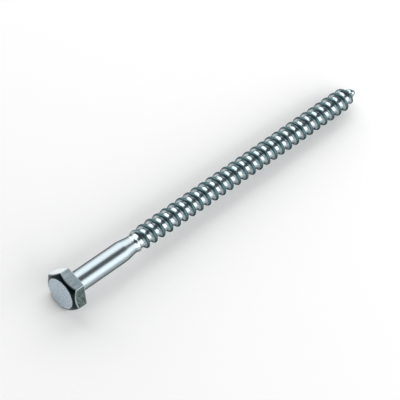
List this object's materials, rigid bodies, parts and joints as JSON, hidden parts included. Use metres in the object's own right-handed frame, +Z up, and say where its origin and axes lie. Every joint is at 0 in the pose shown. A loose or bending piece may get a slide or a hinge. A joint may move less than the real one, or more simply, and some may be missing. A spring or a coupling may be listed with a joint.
{
  "type": "coach screw",
  "caption": "Hexagon head coach screw with a plain shank, a coarse right-hand wood thread and a gimlet point, zinc plated.",
  "frame": {"origin": "centre of the bearing face under the head, from which the length is measured", "axes": "+X from the head towards the tip, sloping down by 1.24 degrees as the screw lies at rest; +Z up; the floor that it lies on is at Z = -8.498 mm; +Y to the left seen from the head"},
  "size_m": [0.1765, 0.0196, 0.0171],
  "materials": {
    "zinc_plated_steel": "bright blue passivated zinc plating over rolled steel"
  },
  "bodies": {
    "root": {"coach_screw": "zinc_plated_steel"}
  },
  "joints": []
}
